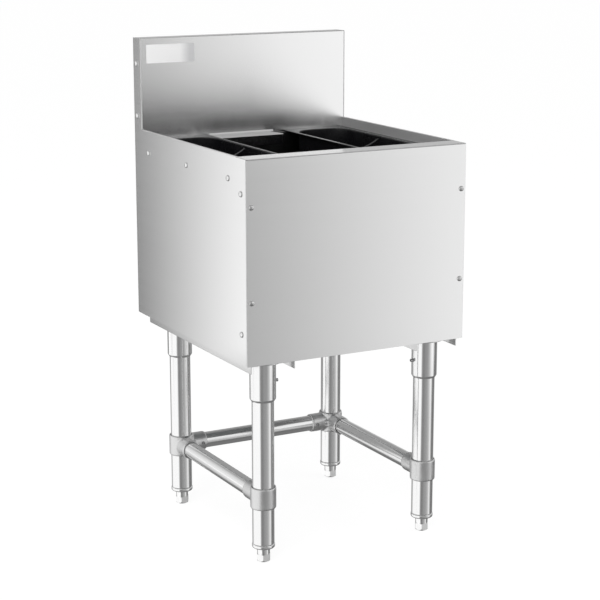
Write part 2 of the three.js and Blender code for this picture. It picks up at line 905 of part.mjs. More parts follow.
addPiece(cabinet, 'left_side_panel', sidePanel(-1), 'brushed');
addPiece(cabinet, 'right_side_panel', sidePanel(1), 'brushed');
addPiece(cabinet, 'front_panel', frontPanel(), 'brushed');
addPiece(cabinet, 'front_rim', frontRim(), 'brushed');
addPiece(cabinet, 'backsplash', backsplash(), 'splash');
addPiece(cabinet, 'back_panel', backPanel(), 'galvanised');
addPiece(cabinet, 'bottom_pan', bottomPan(), 'galvanised');
addPiece(cabinet, 'ice_liner', iceLiner(), 'liner');
addPiece(cabinet, 'insulation', insulation(), 'foam');
addPiece(cabinet, 'rear_ledge', rearLedgePlate(), 'brushed');
addPiece(cabinet, 'left_front_angle', frontAngle(-1), 'galvanised');
addPiece(cabinet, 'right_front_angle', frontAngle(1), 'galvanised');
addPiece(cabinet, 'left_bottle_well', bottleWell(-1), 'blackPlastic');
addPiece(cabinet, 'right_bottle_well', bottleWell(1), 'blackPlastic');
addPiece(cabinet, 'drain_body', drainBody(), 'polished');
addPiece(cabinet, 'drain_gasket', drainGasket(), 'rubber');
addPiece(cabinet, 'drain_locknut', drainLocknut(), 'polished');
addPiece(cabinet, 'drain_strainer', drainStrainer(), 'polished');
addPiece(cabinet, 'label_plate', labelPlate(), 'label');
addPiece(cabinet, 'left_channel', channel(-1), 'brushed');
addPiece(cabinet, 'right_channel', channel(1), 'brushed');

['lower', 'upper'].forEach((level, row) => {
  const height = frontScrewHeights[row];
  addPiece(cabinet, `${level}_left_screw`, frontScrew(left + frontScrewInset, height), 'screw');
  addPiece(cabinet, `${level}_right_screw`, frontScrew(right - frontScrewInset, height), 'screw');
});

// Directions in plan, and the turn of a screw that points straight down from its branch
const toRight = 0;
const toBack = Math.PI / 2;
const toLeft = Math.PI;
const toFront = -Math.PI / 2;
const downward = 0;

const legPlaces = [
  { place: 'front_left', x: -legX, y: frontLegY, inward: toRight, along: toBack },
  { place: 'front_right', x: legX, y: frontLegY, inward: toLeft, along: toBack },
  { place: 'rear_left', x: -legX, y: backLegY, inward: toRight, along: toFront },
  { place: 'rear_right', x: legX, y: backLegY, inward: toLeft, along: toFront },
];

for (const { place, x, y, inward, along } of legPlaces) {
  const near = railRadius + seam;
  const far = branchRadius + setScrewStand;
  const isRear = along === toFront;
  const branches = [{ direction: along, roll: downward }];
  const bossDirections = [];
  addPiece(stand, `${place}_socket`, legSocket(inward), 'polished', x, y);
  addPiece(stand, `${place}_socket_screw`, socketSetScrew(inward), 'screw', x, y);
  addPiece(stand, `${place}_leg`, leg(), 'polished', x, y);
  addPiece(stand, `${place}_side_screw`, branchScrew(setScrewRadius, near, far, along, downward), 'screw', x, y);
  if (isRear) {
    // The screw in the rear rail's branch and the one that grips the leg both face the front
    const roll = inward === toRight ? -Math.PI / 2 : Math.PI / 2;
    const diagonal = inward === toRight ? -Math.PI / 4 : (-3 * Math.PI) / 4;
    const grip = rodOutward(setScrewRadius, legRadius + seam, bossReach, diagonal, railHeight, smallSides);
    branches.push({ direction: inward, roll });
    bossDirections.push(diagonal);
    addPiece(stand, `${place}_rear_screw`, branchScrew(setScrewRadius, near, far, inward, roll), 'screw', x, y);
    addPiece(stand, `${place}_leg_screw`, grip, 'screw', x, y);
  }
  addPiece(stand, `${place}_${isRear ? 'corner' : 'tee'}`, crossFitting(branches, bossDirections), 'cast', x, y);
  addPiece(stand, `${place}_insert`, footInsert(), 'polished', x, y);
  addPiece(stand, `${place}_foot`, adjustableFoot(), 'polished', x, y);
}

const sideRailLength = backLegY - frontLegY - 2 * railStart;
const rearRailLength = 2 * (legX - railStart);
const sideRailMiddle = (frontLegY + backLegY) / 2;
addPiece(stand, 'left_rail', rail(sideRailLength, toBack), 'polished', -legX, sideRailMiddle);
addPiece(stand, 'right_rail', rail(sideRailLength, toBack), 'polished', legX, sideRailMiddle);
addPiece(stand, 'rear_rail', rail(rearRailLength, toRight), 'polished', 0, backLegY);

export default underbarIceBin;
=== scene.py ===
"""Underbar ice bin: the looks of the cabinet, its bottle wells and its tubular stand."""

import math

import bpy
from mathutils import Matrix, Vector


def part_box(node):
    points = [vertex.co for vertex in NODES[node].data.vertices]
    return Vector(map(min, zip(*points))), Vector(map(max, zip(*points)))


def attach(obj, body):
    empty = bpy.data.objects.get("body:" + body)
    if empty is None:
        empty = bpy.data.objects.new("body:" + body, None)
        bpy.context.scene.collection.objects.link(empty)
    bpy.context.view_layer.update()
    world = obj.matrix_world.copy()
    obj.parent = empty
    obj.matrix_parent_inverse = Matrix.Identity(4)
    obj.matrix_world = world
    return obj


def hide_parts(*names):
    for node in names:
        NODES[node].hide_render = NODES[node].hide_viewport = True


bl_info = {
    "name": "Underbar ice bin",
    "version": (1, 0, 0),
    "blender": (4, 5, 0),
    "location": "View3D > Sidebar > Ice bin",
    "description": "Builds the finished surfaces of an underbar ice bin on its packed frame",
    "category": "Object",
}

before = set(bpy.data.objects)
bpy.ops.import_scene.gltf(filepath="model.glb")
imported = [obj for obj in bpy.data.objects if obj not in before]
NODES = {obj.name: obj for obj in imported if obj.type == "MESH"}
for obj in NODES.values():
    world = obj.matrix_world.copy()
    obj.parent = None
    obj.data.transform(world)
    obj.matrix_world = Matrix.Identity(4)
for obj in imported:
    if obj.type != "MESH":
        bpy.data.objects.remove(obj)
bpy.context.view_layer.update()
ROOT = "bin"
PLACES = ("front_left", "front_right", "rear_left", "rear_right")
# The sign of X from a leg towards the middle
INWARD = {place: -1 if place.endswith("right") else 1 for place in PLACES}
FINISHES = {}


def grey(level):
    return (level, level, level, 1.0)


def metres(name, description, default):
    return bpy.props.FloatProperty(
        name=name, description=description, default=default, unit="LENGTH", precision=5)


def plain(name, description, default, subtype="NONE"):
    return bpy.props.FloatProperty(name=name, description=description, default=default, subtype=subtype)


def whole(name, description, default, least, most):
    return bpy.props.IntProperty(name=name, description=description, default=default, min=least, max=most)


def colour(name, description, default):
    return bpy.props.FloatVectorProperty(
        name=name, description=description, default=default, size=4, min=0.0, max=1.0, subtype="COLOR")


class SheetSettings(bpy.types.PropertyGroup):
    """Sizes and colours of the folded sheet"""
    bend: metres("Bend", "Outer radius of the sheet's folds", 0.0019)
    cut_edge: metres("Seen edge", "Radius on the edges round the front, the top and the ears", 0.00105)
    edge: metres("Edge", "Radius on the sheet's cut edges", 0.00025)
    ledge_bend: metres("Ledge bend", "Hollow radius where the rear ledge meets the backsplash", 0.0034)
    channel_bend: metres("Channel bend", "Radius on the edges of the channels", 0.0007)
    rivet_radius: metres("Rivet radius", "Radius of a rivet's head", 0.0055)
    rivet_height: metres("Rivet height", "Height of a rivet's head", 0.0025)
    steel: colour("Steel", "Colour of the brushed panels", grey(0.80))
    splash: colour("Backsplash", "Colour of the backsplash", grey(0.86))
    # The ice liner is stainless steel; this near-black grey is painted shade for the shadow inside its deep
    # box
    liner: colour("Liner", "Colour of the ice liner", grey(0.13))
    zinc: colour("Zinc", "Colour of the galvanised sheet", (0.56, 0.58, 0.59, 1.0))


class FittingSettings(bpy.types.PropertyGroup):
    """Sizes and colours of the stand"""
    sides: whole("Sides", "Facets round a tube", 96, 24, 256)
    tube_edge: metres("Tube edge", "Radius on the ends of the tubes", 0.0004)
    casting_grain: metres("Casting grain", "Voxel of the cast fittings", 0.0011)
    fillet_rounds: whole("Fillet rounds", "How often the cast fittings are smoothed", 14, 0, 60)
    tube: colour("Tube", "Colour of the polished tubes", grey(0.86))
    foot: colour("Foot", "Colour of the adjustable feet", grey(0.86))
    casting: colour("Casting", "Colour of the cast fittings", grey(0.74))
    screw: colour("Screw", "Colour of the set screws", (0.45, 0.45, 0.455, 1.0))


class WellSettings(bpy.types.PropertyGroup):
    """Sizes and colours of the bottle wells"""
    lip: metres("Lip", "Radius on the wells' lips", 0.0007)
    plastic: colour("Plastic", "Colour of the bottle wells", (0.006, 0.006, 0.007, 1.0))


class StageSettings(bpy.types.PropertyGroup):
    """The floor, the light and the camera"""
    floor: colour("Floor", "Colour of the floor", grey(0.90))
    floor_share: plain("White share", "How much of the floor's white is its own", 0.82)
    floor_glow: plain("Floor white", "Strength of that white", 1.09)
    key_watts: plain("Key", "Power of the large soft light", 62.0)
    fill_watts: plain("Fill", "Power of the light from the right", 20.0)
    lens: plain("Lens", "Focal length in millimetres", 103.24)
    camera_place: bpy.props.FloatVectorProperty(
        name="Camera", description="Where the camera stands", default=(-1.55034, -2.89276, 1.19915),
        size=3, subtype="TRANSLATION")
    azimuth: plain("Azimuth", "Which way the camera looks in plan, from +Y towards +X",
                   math.radians(28.3305), "ANGLE")
    pitch: plain("Pitch", "How far the camera looks down", math.radians(13.0106), "ANGLE")


# Small steps that every piece shares

def deselect():
    if bpy.context.object and bpy.context.object.mode != "OBJECT":
        bpy.ops.object.mode_set(mode="OBJECT")
    bpy.ops.object.select_all(action="DESELECT")


def pick(piece):
    deselect()
    piece.select_set(True)
    bpy.context.view_layer.objects.active = piece
    return piece


def settle(piece):
    """Moves the piece's place into its mesh, so that its object sits at the origin"""
    pick(piece)
    bpy.ops.object.transform_apply(location=True, rotation=True, scale=True)
    return piece


def join(pieces):
    deselect()
    for piece in pieces:
        piece.select_set(True)
    bpy.context.view_layer.objects.active = pieces[0]
    bpy.ops.object.join()
    return settle(bpy.context.object)


def open_up(piece):
    """Opens the piece for editing, with all of it selected"""
    pick(piece)
    bpy.ops.object.mode_set(mode="EDIT")
    bpy.ops.mesh.select_all(action="SELECT")


def clean(piece, gap=1e-6):
    open_up(piece)
    bpy.ops.mesh.remove_doubles(threshold=gap)
    bpy.ops.mesh.delete_loose()
    bpy.ops.mesh.select_all(action="SELECT")
    bpy.ops.mesh.normals_make_consistent(inside=False)
    bpy.ops.object.mode_set(mode="OBJECT")
    return piece


def modify(piece, kind, **values):
    pick(piece)
    modifier = piece.modifiers.new(kind.title(), kind)
    for key, value in values.items():
        setattr(modifier, key, value)
    bpy.ops.object.modifier_apply(modifier=modifier.name)
    return piece


def bevel(piece, width, segments, angle):
    return modify(piece, "BEVEL", width=width, segments=segments, limit_method="ANGLE",
                  angle_limit=math.radians(angle))


def soften(piece, width, angle=32):
    """Rounds the sharp edges and keeps the flat faces flat in the light"""
    return shade(bevel(piece, width, 2, angle))


def wide(face, edge_start, edge_aim, least):
    """True if the face reaches at least that far from the edge"""
    return any(((corner - edge_start) - edge_aim * (corner - edge_start).dot(edge_aim)).length > least
               for corner in face)


def fold_edges(piece, least, width, chosen, segments=4):
    """Rounds the outer edges of a sheet's folds, where two wide faces meet, if their middles are chosen"""
    # Faces whose normals have a higher product than this meet too flatly for a fold
    mesh, blunt = piece.data, 0.7
    corners = [vertex.co.copy() for vertex in mesh.vertices]
    sides = {}
    for polygon in mesh.polygons:
        for key in polygon.edge_keys:
            sides.setdefault(key, []).append(polygon)
    folds = []
    for edge in mesh.edges:
        faces = sides.get(edge.key, [])
        if len(faces) != 2 or faces[0].normal.dot(faces[1].normal) > blunt:
            continue
        start = corners[edge.vertices[0]]
        aim = (corners[edge.vertices[1]] - start).normalized()
        outward = (faces[0].normal + faces[1].normal).dot(faces[0].center - start) < 0
        middle_place = (start + corners[edge.vertices[1]]) / 2
        if outward and chosen(middle_place) and all(
                wide([corners[i] for i in face.vertices], start, aim, least) for face in faces):
            folds.append(edge.index)
    if not folds:
        return piece
    pick(piece)
    bpy.ops.object.mode_set(mode="EDIT")
    bpy.ops.mesh.select_all(action="DESELECT")
    bpy.ops.mesh.select_mode(type="EDGE")
    bpy.ops.object.mode_set(mode="OBJECT")
    for index in folds:
        mesh.edges[index].select = True
    bpy.ops.object.mode_set(mode="EDIT")
    bpy.ops.mesh.bevel(offset=width, segments=segments, affect="EDGES", clamp_overlap=True)
    bpy.ops.mesh.select_mode(type="VERT")
    bpy.ops.object.mode_set(mode="OBJECT")
    return piece


def shade(piece, angle=38, weighted=True):
    pick(piece)
    bpy.ops.object.shade_smooth_by_angle(angle=math.radians(angle))
    if weighted:
        modify(piece, "WEIGHTED_NORMAL", keep_sharp=True, weight=50)
    return piece


def coat(piece, finish):
    piece.data.materials.clear()
    piece.data.materials.append(FINISHES[finish])


def dress(piece, name, finish, stands_for=(), body=ROOT):
    """Names the piece, gives it its finish, and ties it to a body and the nodes that it replaces"""
    piece.name = name
    piece.data.name = name
    coat(piece, finish)
    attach(piece, body)
    if stands_for:
        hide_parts(*stands_for)
    return piece


def copy_of(node):
    """A merged copy of a node's mesh, with its flat faces whole again"""
    source = NODES[node]
    piece = bpy.data.objects.new(node + "_copy", source.data.copy())
    bpy.context.scene.collection.objects.link(piece)
    open_up(piece)
    bpy.ops.mesh.remove_doubles(threshold=2e-6)
    bpy.ops.mesh.dissolve_limited(angle_limit=math.radians(0.4))
    bpy.ops.object.mode_set(mode="OBJECT")
    return piece


def turned(outline, centre, steps, aim=None):
    """Spins an outline of [radius, height] points round the Z axis, then aims it"""
    deselect()
    bpy.ops.mesh.primitive_circle_add(vertices=len(outline), radius=1.0)
    piece = bpy.context.object
    for vertex, (radius, height) in zip(piece.data.vertices, outline):
        vertex.co = (radius, 0.0, height)
    open_up(piece)
    bpy.ops.mesh.spin(steps=steps, angle=2 * math.pi, center=(0, 0, 0), axis=(0, 0, 1))
    bpy.ops.object.mode_set(mode="OBJECT")
    return aimed(clean(piece), centre, aim)


def aimed(piece, place, aim=None):
    """Turns the piece's Z axis to an aim and moves it to its place"""
    if aim is not None:
        piece.data.transform(Vector((0, 0, 1)).rotation_difference(Vector(aim)).to_matrix().to_4x4())
    piece.data.transform(Matrix.Translation(place))
    return piece


def block(place, size):
    deselect()
    bpy.ops.mesh.primitive_cube_add(size=1.0, location=place)
    bpy.context.object.scale = size
    return settle(bpy.context.object)


def hexagon(radius, depth, height):
    """A six-sided bar on the Z axis, with its middle at a height"""
    deselect()
    bpy.ops.mesh.primitive_cylinder_add(vertices=6, radius=radius, depth=depth, location=(0, 0, height))
    return settle(bpy.context.object)


def rod(radius, low, high, edge=0.0):
    """The outline of a rod along Z, with its end edges taken off"""
    if not edge:
        return [(0, low), (radius, low), (radius, high), (0, high)]
    return [(0, low), (radius - edge, low), (radius, low + edge),
            (radius, high - edge), (radius - edge, high), (0, high)]


def arc(centre_r, centre_z, radius, start, end, count):
    """Points of an arc in an outline, from one angle to another in degrees"""
    points = []
    for step in range(count + 1):
        angle = math.radians(start + (end - start) * step / count)
        points.append((centre_r + radius * math.cos(angle), centre_z + radius * math.sin(angle)))
    return points


def dome(radius, height, base, degrees, count):
    """Points of a flat dome's outline, each so many degrees further up, and its top"""
    angles = [math.radians(degrees * step) for step in range(1, count + 1)]
    curve = [(radius * math.cos(angle), base + height * math.sin(angle)) for angle in angles]
    return curve + [(0, base + height)]


def thread(radius, low, high, pitch, depth):
    """The outline of a screw thread made as rings, from low up to the last whole ring below high"""
    points, z = [], low
    while z + pitch < high:
        points += [(radius, z), (radius - depth, z + pitch / 2)]
        z += pitch
    return points + [(radius, z)]


def combine(piece, others, operation="DIFFERENCE"):
    """Takes the others out of the piece, or unites or crosses it with them, and removes them"""
    for other in others:
        modify(piece, "BOOLEAN", operation=operation, solver="EXACT", object=other)
        bpy.data.objects.remove(other)
    return piece


def middle(node):
    low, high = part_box(node)
    return (low + high) / 2


def half_width(node):
    low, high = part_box(node)
    return (high.x - low.x) / 2


# Materials

# Nearly all of a noise texture lies between these two of its values
GRAIN = (0.3, 0.7)
# The colour inputs of a Mix node, whose names its other inputs have too, and its colour output
MIX_FIRST, MIX_SECOND, MIXED_COLOUR = 6, 7, 2


def put(tree, socket, value):
    """Links the socket to another one, or gives it a constant, where one number stands for a grey"""
    if isinstance(value, bpy.types.NodeSocket):
        tree.links.new(value, socket)
    elif isinstance(value, float) and socket.type == "RGBA":
        socket.default_value = grey(value)
    else:
        socket.default_value = value


def add(tree, kind, inputs, **fields):
    """A new node with its fields and its inputs set"""
    node = tree.nodes.new(kind)
    for name, value in fields.items():
        setattr(node, name, value)
    for key, value in inputs.items():
        put(tree, node.inputs[key], value)
    return node


def number(tree, operation, *values):
    return add(tree, "ShaderNodeMath", dict(enumerate(values)), operation=operation).outputs["Value"]


def times(tree, value, *others):
    for other in others:
        value = number(tree, "MULTIPLY", value, other)
    return value


def ranged(tree, value, low, high, new_low=0.0, new_high=1.0, **fields):
    ends = {"Value": value, "From Min": low, "From Max": high, "To Min": new_low, "To Max": new_high}
    return add(tree, "ShaderNodeMapRange", ends, **fields).outputs["Result"]


def rise(tree, value, start, end):
    """0 up to the start and 1 from the end on, whichever of the two is the higher"""
    return ranged(tree, value, start, end, interpolation_type="SMOOTHSTEP")


def sight(tree):
    """Whether the camera sees it straight, and whether it is seen by way of a mirror or a lens"""
    rays = add(tree, "ShaderNodeLightPath", {}).outputs
    bent = number(tree, "MAXIMUM", rays["Is Glossy Ray"], rays["Is Transmission Ray"])
    return rays["Is Camera Ray"], bent


def whereabouts(tree, space="Object"):
    """The point that is shaded, or in the world the direction that is looked in"""
    return add(tree, "ShaderNodeTexCoord", {}).outputs[space]


def split_up(tree, vector):
    return add(tree, "ShaderNodeSeparateXYZ", {"Vector": vector}).outputs


def blend_colours(tree, factor, first, second):
    inputs = {"Factor": factor, MIX_FIRST: first, MIX_SECOND: second}
    return add(tree, "ShaderNodeMix", inputs, data_type="RGBA").outputs[MIXED_COLOUR]


def blend_shaders(tree, factor, first, second):
    return add(tree, "ShaderNodeMixShader", {"Fac": factor, 1: first, 2: second}).outputs["Shader"]


def grey_by_angle(tree, across, ahead, table):
    """The grey level that a table gives for the angle in plan, counted from ahead towards across"""
    turn = number(tree, "ARCTAN2", across, ahead)
    low, high = table[0][0], table[-1][0]
    place = ranged(tree, turn, math.radians(low), math.radians(high))
    ramp = add(tree, "ShaderNodeValToRGB", {"Fac": place})
    elements = ramp.color_ramp.elements
    last = len(table) - 1
    for index, (degrees, level) in enumerate(table):
        share = (degrees - low) / (high - low)
        element = elements[0] if index == 0 else elements[-1] if index == last else elements.new(share)
        element.position = share
        element.color = grey(level)
    return ramp.outputs["Color"]


def blank_material(name, metallic=0.0):
    material = bpy.data.materials.new(name)
    material.use_nodes = True
    shader = material.node_tree.nodes["Principled BSDF"]
    shader.inputs["Metallic"].default_value = metallic
    return material, material.node_tree, shader


def bare_tree(owner):
    """The emptied node tree of a material or of the world"""
    owner.use_nodes = True
    owner.node_tree.nodes.clear()
    return owner.node_tree


def grain_texture(tree, stretch=(1.0, 1.0, 1.0), scale=1.0, detail=3.0, offset=(0, 0, 0)):
    mapping = {"Vector": whereabouts(tree), "Scale": stretch, "Location": offset}
    place = add(tree, "ShaderNodeMapping", mapping).outputs["Vector"]
    noise = {"Vector": place, "Scale": scale, "Detail": detail, "Roughness": 0.55}
    return add(tree, "ShaderNodeTexNoise", noise).outputs["Fac"]


def tint(tree, factor, base, low, high):
    """A ramp between a darker and a lighter cast of one colour"""
    ramp = add(tree, "ShaderNodeValToRGB", {"Fac": factor})
    for element, place, cast in zip(ramp.color_ramp.elements, GRAIN, (low, high)):
        element.position = place
        element.color = tuple(min(channel * cast, 1.0) for channel in base[:3]) + (1.0,)
    return ramp.outputs["Color"]


def vary(tree, shader, base, contrast, roughness, grain, gloss_grain):
    """Varies the shader's colour by one texture and its roughness by another, or by the same"""
    put(tree, shader.inputs["Base Color"], tint(tree, grain, base, *contrast))
    put(tree, shader.inputs["Roughness"], ranged(tree, gloss_grain, *GRAIN, *roughness))


def roughen(tree, shader, height, strength, distance):
    bump = add(tree, "ShaderNodeBump", {"Height": height, "Strength": strength, "Distance": distance})
    put(tree, shader.inputs["Normal"], bump.outputs["Normal"])


def brush(tree, shader, strength):
    """Spreads the reflections upright, as fine level brush lines do"""
    upright = add(tree, "ShaderNodeCombineXYZ", {"Z": 1.0})
    put(tree, shader.inputs["Tangent"], upright.outputs["Vector"])
    shader.inputs["Anisotropic"].default_value = strength


def satin_and_painted_shade_zone(material, low, high, roughness=None, metallic=None, fade=0.0, painted_shade=None):
    """Makes the metal satin, or darkens its colour as painted shade, between two corners that hold on both
    sides of the middle.
    With a fade, this dies away towards the zone's top and its outer ends."""
    tree = material.node_tree
    shader = tree.nodes["Principled BSDF"]
    x, y, z = split_up(tree, whereabouts(tree))
    side = number(tree, "ABSOLUTE", x)
    inside = 1.0
    for value, least, most in zip((side, y, z), low, high):
        inside = times(tree, inside, number(tree, "GREATER_THAN", value, least),
                       number(tree, "LESS_THAN", value, most))
    if fade:
        for value, end, reach in ((z, high[2], fade), (side, high[0], 2 * fade)):
            inside = times(tree, inside, rise(tree, value, end, end - reach))
    for name, aim in (("Roughness", roughness), ("Metallic", metallic)):
        if aim is not None:
            socket = shader.inputs[name]
            before = socket.links[0].from_socket if socket.links else socket.default_value
            blend = add(tree, "ShaderNodeMix", {"Factor": inside, "A": before, "B": aim})
            put(tree, socket, blend.outputs["Result"])
    # Painted shade: inside the zone the base colour is blended towards a darker grey
    if painted_shade is not None:
        socket = shader.inputs["Base Color"]
        put(tree, socket, blend_colours(tree, inside, socket.links[0].from_socket, painted_shade))
    return material


def brushed_metal(name, base, along, roughness=(0.13, 0.18), contrast=(0.985, 1.012), across=0.0):
    """Steel with a fine grain that runs along X or along Y, over broader bands of the same"""
    material, tree, shader = blank_material(name, 1.0)
    fine, broad = (
        grain_texture(tree, (slow, fast, fast) if along == "X" else (fast, slow, fast), offset=offset)
        for slow, fast, offset in ((6.0, 2600.0, (0, 0, 0)), (1.2, 160.0, (3.1, 1.7, 5.3))))
    grain = add(tree, "ShaderNodeMix", {"Factor": 0.35, "A": fine, "B": broad}).outputs["Result"]
    vary(tree, shader, base, contrast, roughness, grain, grain)
    roughen(tree, shader, grain, 0.03, 0.0002)
    if across:
        brush(tree, shader, across)
    return material


def smooth_metal(name, base, roughness, scale=40.0, bump=0.0, contrast=(0.985, 1.01), upright=0.0):
    """Polished or satin metal with faint smears, polished round an upright axis if so asked"""
    material, tree, shader = blank_material(name, 1.0)
    smear = grain_texture(tree, scale=scale, detail=5.0)
    vary(tree, shader, base, contrast, roughness, smear, smear)
    if bump:
        roughen(tree, shader, grain_texture(tree, scale=scale * 12, offset=(2.2, 0.4, 1.3)), bump, 0.0003)
    if upright:
        brush(tree, shader, upright)
    return material


def zinc_sheet(name, base):
    """Galvanised sheet with its spangle"""
    material, tree, shader = blank_material(name, 1.0)
    spangle = add(tree, "ShaderNodeTexVoronoi", {"Vector": whereabouts(tree), "Scale": 95.0})
    red, green, blue = add(tree, "ShaderNodeSeparateColor", {"Color": spangle.outputs["Color"]}).outputs
    vary(tree, shader, base, (0.95, 1.05), (0.40, 0.46), red, green)
    roughen(tree, shader, blue, 0.02, 0.0003)
    return material


def moulded_plastic(name, base, roughness, scale, bump):
    material, tree, shader = blank_material(name)
    haze = grain_texture(tree, scale=14.0, offset=(1.0, 4.0, 2.0))
    vary(tree, shader, base, (0.9, 1.12), roughness, haze, haze)
    roughen(tree, shader, grain_texture(tree, scale=scale, detail=2.0), bump, 0.0002)
    return material


def foam_block(name):
    material, tree, shader = blank_material(name)
    cells = grain_texture(tree, scale=420.0, detail=6.0)
    vary(tree, shader, (0.80, 0.70, 0.40, 1), (0.8, 1.1), (0.8, 0.98), cells, cells)
    roughen(tree, shader, cells, 0.4, 0.001)
    return material


def label_foil(name, low, high):
    """A bare foil label: pale, with a brushed silver band at its right end"""
    material, tree, shader = blank_material(name)
    grain = grain_texture(tree, (20.0, 900.0, 900.0))
    vary(tree, shader, grey(0.97), (0.99, 1.01), (0.3, 0.42), grain, grain)
    x, span = split_up(tree, whereabouts(tree))["X"], high - low
    band = ranged(tree, x, low + span * 0.70, low + span * 0.90)
    silver = tint(tree, grain, (0.66, 0.66, 0.67, 1), 0.95, 1.05)
    socket = shader.inputs["Base Color"]
    put(tree, socket, blend_colours(tree, band, socket.links[0].from_socket, silver))
    return material


def make_finishes(scene):
    sheet, stand, wells = scene.bin_sheet, scene.bin_stand, scene.bin_wells
    label, splash, rim, ledge = [
        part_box(node) for node in ("label_plate", "backsplash", "front_rim", "rear_ledge")]
    face, side, rim_top, ledge_top = splash[0].y, rim[1].x, rim[1].z, ledge[1].z
    # How far a zone reaches over a fold, through a face and below the ledge's top, and how much of the
    # backsplash's own top it leaves
    over, skin, below, left = 0.001, 0.0004, 0.0003, 0.0005
    # The ears that close the backsplash's ends, the side panels' top flanges, the ledge's top, and the
    # strip of the backsplash above the ledge, which gets a painted shadow
    ear = ((side - over, 0, rim_top + over), (1, face + skin, splash[1].z - left))
    flange = ((side - 0.006, -1, 0), (side - over, face, rim_top + over))
    top = ((0, -1, ledge_top - below), (1, 1, 1))
    painted_shadow_strip = ((0, face - over, 0), (ledge[1].x + 0.075, face + skin, ledge_top + 0.048))
    side_steel = brushed_metal("side_steel", sheet.steel, "Y")
    satin_and_painted_shade_zone(side_steel, *flange, roughness=0.55, metallic=0.93)
    splash_steel = brushed_metal("splash_steel", sheet.splash, "X", (0.17, 0.20), (0.985, 1.01), 0.9)
    for steel in (side_steel, splash_steel):
        satin_and_painted_shade_zone(steel, *ear, roughness=0.5, metallic=0.2)
    ledge_steel = brushed_metal("ledge_steel", grey(0.62), "X")
    FINISHES.update(
        side_steel=side_steel,
        front_steel=brushed_metal("front_steel", sheet.steel, "X"),
        rim_steel=brushed_metal("rim_steel", grey(0.73), "X"),
        ledge_steel=satin_and_painted_shade_zone(ledge_steel, *top, roughness=0.5, metallic=0.3),
        # A painted shadow: the backsplash just above the ledge is darkened, fading upwards and outwards
        splash_steel=satin_and_painted_shade_zone(splash_steel, *painted_shadow_strip, fade=0.036, painted_shade=0.42),
        # Painted shade: the liner's steel is near black so that the deep compartment looks shaded
        liner_steel=brushed_metal("liner_steel", sheet.liner, "Y", (0.34, 0.46)),
        zinc=zinc_sheet("zinc_sheet", sheet.zinc),
        tube=smooth_metal("polished_tube", stand.tube, (0.14, 0.17), upright=0.9),
        rail=smooth_metal("polished_rail", stand.tube, (0.13, 0.17)),
        foot=smooth_metal("turned_foot", stand.foot, (0.10, 0.15), 90.0, 0.0, (0.93, 1.05)),
        casting=smooth_metal("satin_casting", stand.casting, (0.32, 0.42), 60.0, 0.10, (0.95, 1.04)),
        screw=smooth_metal("screw_steel", stand.screw, (0.25, 0.4), 200.0, 0.05, (0.85, 1.15)),
        bright_screw=smooth_metal("bright_screw", grey(0.76), (0.22, 0.34), 200.0, 0.05, (0.85, 1.15)),
        rivet=smooth_metal("rivet_steel", grey(0.86), (0.12, 0.2), 200.0),
        black=moulded_plastic("well_plastic", wells.plastic, (0.20, 0.32), 900.0, 0.05),
        rubber=moulded_plastic("gasket_rubber", (0.02, 0.02, 0.021, 1), (0.7, 0.85), 700.0, 0.2),
        foam=foam_block("rigid_foam"),
        label=label_foil("label_foil", label[0].x, label[1].x),
    )


# The cabinet

SHEETS = (
    ("left_side_panel", "side_steel", "brushed_sheet"),
    ("right_side_panel", "side_steel", "brushed_sheet"),
    ("front_panel", "front_steel", "brushed_sheet"),
    ("front_rim", "rim_steel", "brushed_sheet"),
    ("backsplash", "splash_steel", "splash_sheet"),
    ("rear_ledge", "ledge_steel", "brushed_sheet"),
    ("back_panel", "zinc", "galvanised_sheet"),
    ("bottom_pan", "zinc", "galvanised_sheet"),
    ("left_front_angle", "zinc", "galvanised_sheet"),
    ("right_front_angle", "zinc", "galvanised_sheet"),
    ("ice_liner", "liner_steel", "liner_sheet"),
)
# Those whose folds are round
FOLDED = ("left_side_panel", "right_side_panel", "backsplash")


class ICEBIN_OT_panels(bpy.types.Operator):
    """Gives the folded sheets and the channels their bend radii and their finish"""
    bl_idname = "icebin.panels"
    bl_label = "Panels"

    def execute(self, context):
        settings = context.scene.bin_sheet
        front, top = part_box("front_panel"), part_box("front_rim")[1].z
        face, half = front[0].y, front[1].x
        splash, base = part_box("backsplash")[0].y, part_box("left_side_panel")[0].z
        # How near to a plane its edges lie, and how far the front panel's upper fold reaches down
        near, fold = 0.0001, 0.002

        def side_foot(at):
            return at.z < base + near and abs(at.x) > half - near

        seen = {
            "front_panel": lambda at: (
                at.y < face + near and (abs(at.x) > half - near or at.z > top - fold)),
            "front_rim": lambda at: at.y < face + 2 * near and at.z > top - near,
            "rear_ledge": lambda at: at.y > splash - 5 * near,
            "left_side_panel": side_foot,
            "right_side_panel": side_foot,
        }
        for node, finish, slot in SHEETS:
            panel = copy_of(node)
            if node in seen:
                fold_edges(panel, 0.001, settings.cut_edge, seen[node], segments=5)
            if node in FOLDED:
                fold_edges(panel, 0.003, settings.bend,
                           lambda at: node != "backsplash" or abs(at.x) < half - 0.01)
            soften(panel, settings.edge, angle=42)
            if node == "rear_ledge":
                panel = join([panel, self.bend(settings.ledge_bend, splash)])
            dress(panel, node + "_sheet", finish, [node])
        for node in ("left_channel", "right_channel"):
            channel = soften(copy_of(node), settings.channel_bend)
            dress(channel, node + "_bent", "side_steel", [node])
        return {"FINISHED"}

    def bend(self, radius, splash):
        """The hollow bend with which the rear ledge turns up into the backsplash"""
        low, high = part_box("rear_ledge")
        gap, inset, beyond = 0.0001, 0.0006, 0.2
        x, y, z = (low.x + high.x) / 2, splash - gap, high.z + gap
        piece = block((x, y - radius / 2, z + radius / 2), (high.x - low.x - inset, radius, radius))
        hollow = turned(rod(radius - 2 * gap, -beyond, beyond), (x, y - radius, z + radius), 64, (1, 0, 0))
        return shade(combine(piece, [hollow]), 30, weighted=False)


